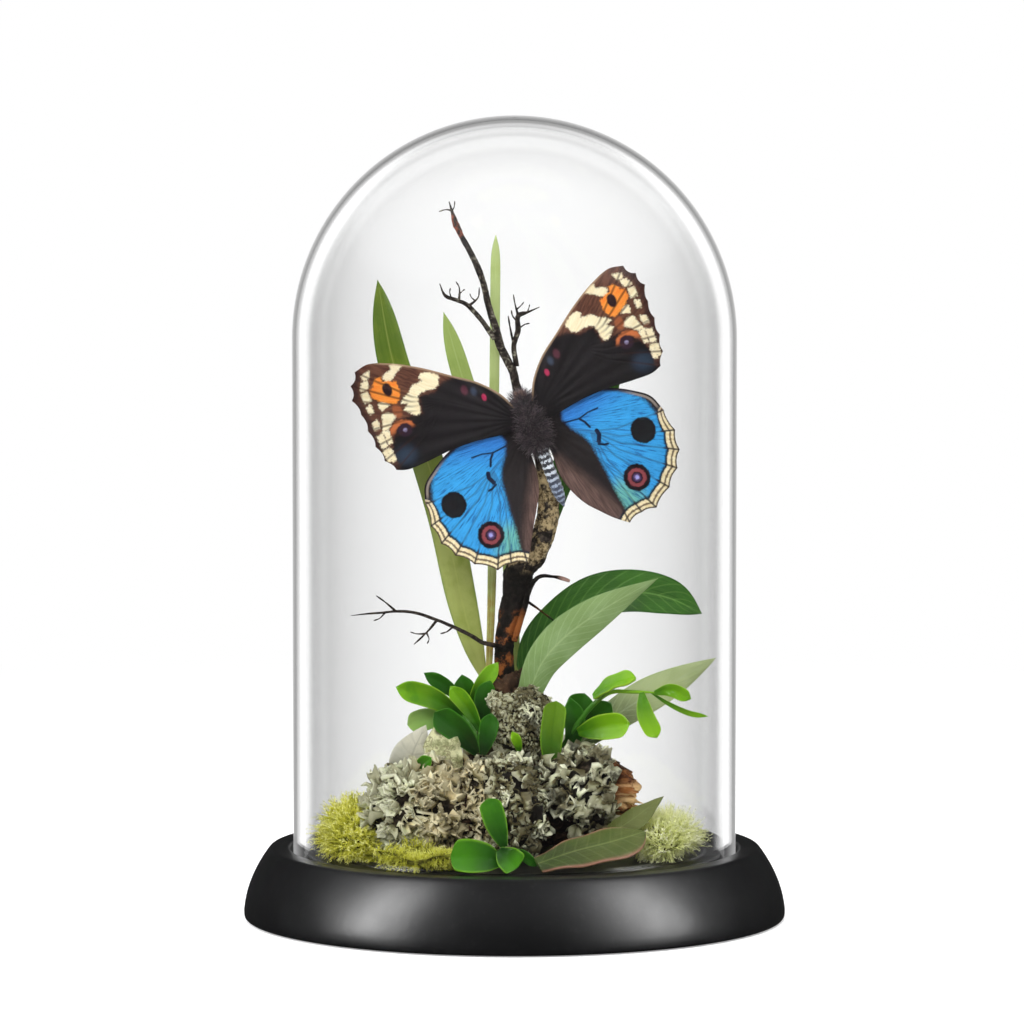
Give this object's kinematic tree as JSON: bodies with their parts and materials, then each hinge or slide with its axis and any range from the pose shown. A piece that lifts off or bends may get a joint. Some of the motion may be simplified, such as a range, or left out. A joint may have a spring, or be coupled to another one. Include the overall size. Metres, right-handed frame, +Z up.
{
  "type": "insect in glass dome",
  "caption": "Spread blue and black butterfly mounted on a lichened branch with moss and leaves, under a round-topped glass dome on a low turned black base.",
  "frame": {"origin": "middle of the base's flat underside", "axes": "+Z up, -Y is the front that the butterfly's open wings face, +X to the viewer's right"},
  "size_m": [0.087, 0.087, 0.1283],
  "materials": {
    "base": "near-black satin lacquer on turned wood",
    "glass": "clear blown glass",
    "bark": "rough brown bark, orange-brown where broken",
    "twig": "dry dark bark with paler patches",
    "lichen": "pale grey-green dry lichen",
    "moss": "fine yellow-green moss",
    "strap_leaf": "smooth olive leaf",
    "dark_leaf": "smooth dark leaf with a pale midrib",
    "pale_leaf": "soft sage-green leaf",
    "papery_leaf": "thin grey papery leaf",
    "sprig_leaf": "bright fleshy leaf, slightly shiny",
    "stem": "dark green stem",
    "wing": "scaled wing, blue, black and cream, with a soft sheen",
    "butterfly_body": "brown-black fur, silver rings on the abdomen"
  },
  "bodies": {
    "root": {"base": "base", "glass_dome": "glass", "bark_log": "bark", "wood_stump": "bark", "trunk": "twig", "twig_leader": "twig", "twig_fork_left": "twig", "twig_fork_right": "twig", "twig_side_left": "twig", "twig_side_right": "twig", "lichen_left": "lichen", "lichen_middle": "lichen", "lichen_right": "lichen", "lichen_back": "lichen", "lichen_stump": "lichen", "lichen_lobe": "lichen", "moss_left": "moss", "moss_front": "moss", "moss_right": "moss", "moss_back": "moss", "strap_leaf_left": "strap_leaf", "strap_leaf_middle": "strap_leaf", "grass_leaf": "strap_leaf", "wing_leaf": "dark_leaf", "arching_leaf": "dark_leaf", "pale_leaf": "pale_leaf", "side_leaf_right": "pale_leaf", "papery_leaf": "papery_leaf", "front_leaf": "pale_leaf", "low_leaf_right": "pale_leaf", "sprig_right_stem": "stem", "sprig_right_leaf_1": "sprig_leaf", "sprig_right_leaf_2": "sprig_leaf", "sprig_right_leaf_3": "sprig_leaf", "sprig_right_leaf_4": "sprig_leaf", "sprig_right_leaf_5": "sprig_leaf", "sprig_right_leaf_6": "sprig_leaf", "sprig_right_leaf_7": "sprig_leaf", "sprig_right_leaf_8": "sprig_leaf", "sprig_left_stem": "stem", "sprig_left_leaf_1": "sprig_leaf", "sprig_left_leaf_2": "sprig_leaf", "sprig_left_leaf_3": "sprig_leaf", "sprig_left_leaf_4": "sprig_leaf", "sprig_left_leaf_5": "sprig_leaf", "sprig_left_leaf_6": "sprig_leaf", "sprig_left_leaf_7": "sprig_leaf", "sprig_front_stem": "stem", "sprig_front_leaf_1": "sprig_leaf", "sprig_front_leaf_2": "sprig_leaf", "sprig_front_leaf_3": "sprig_leaf", "sprig_front_leaf_4": "sprig_leaf", "butterfly_body": "butterfly_body", "forewing_left": "wing", "hindwing_left": "wing", "forewing_right": "wing", "hindwing_right": "wing"}
  },
  "joints": []
}
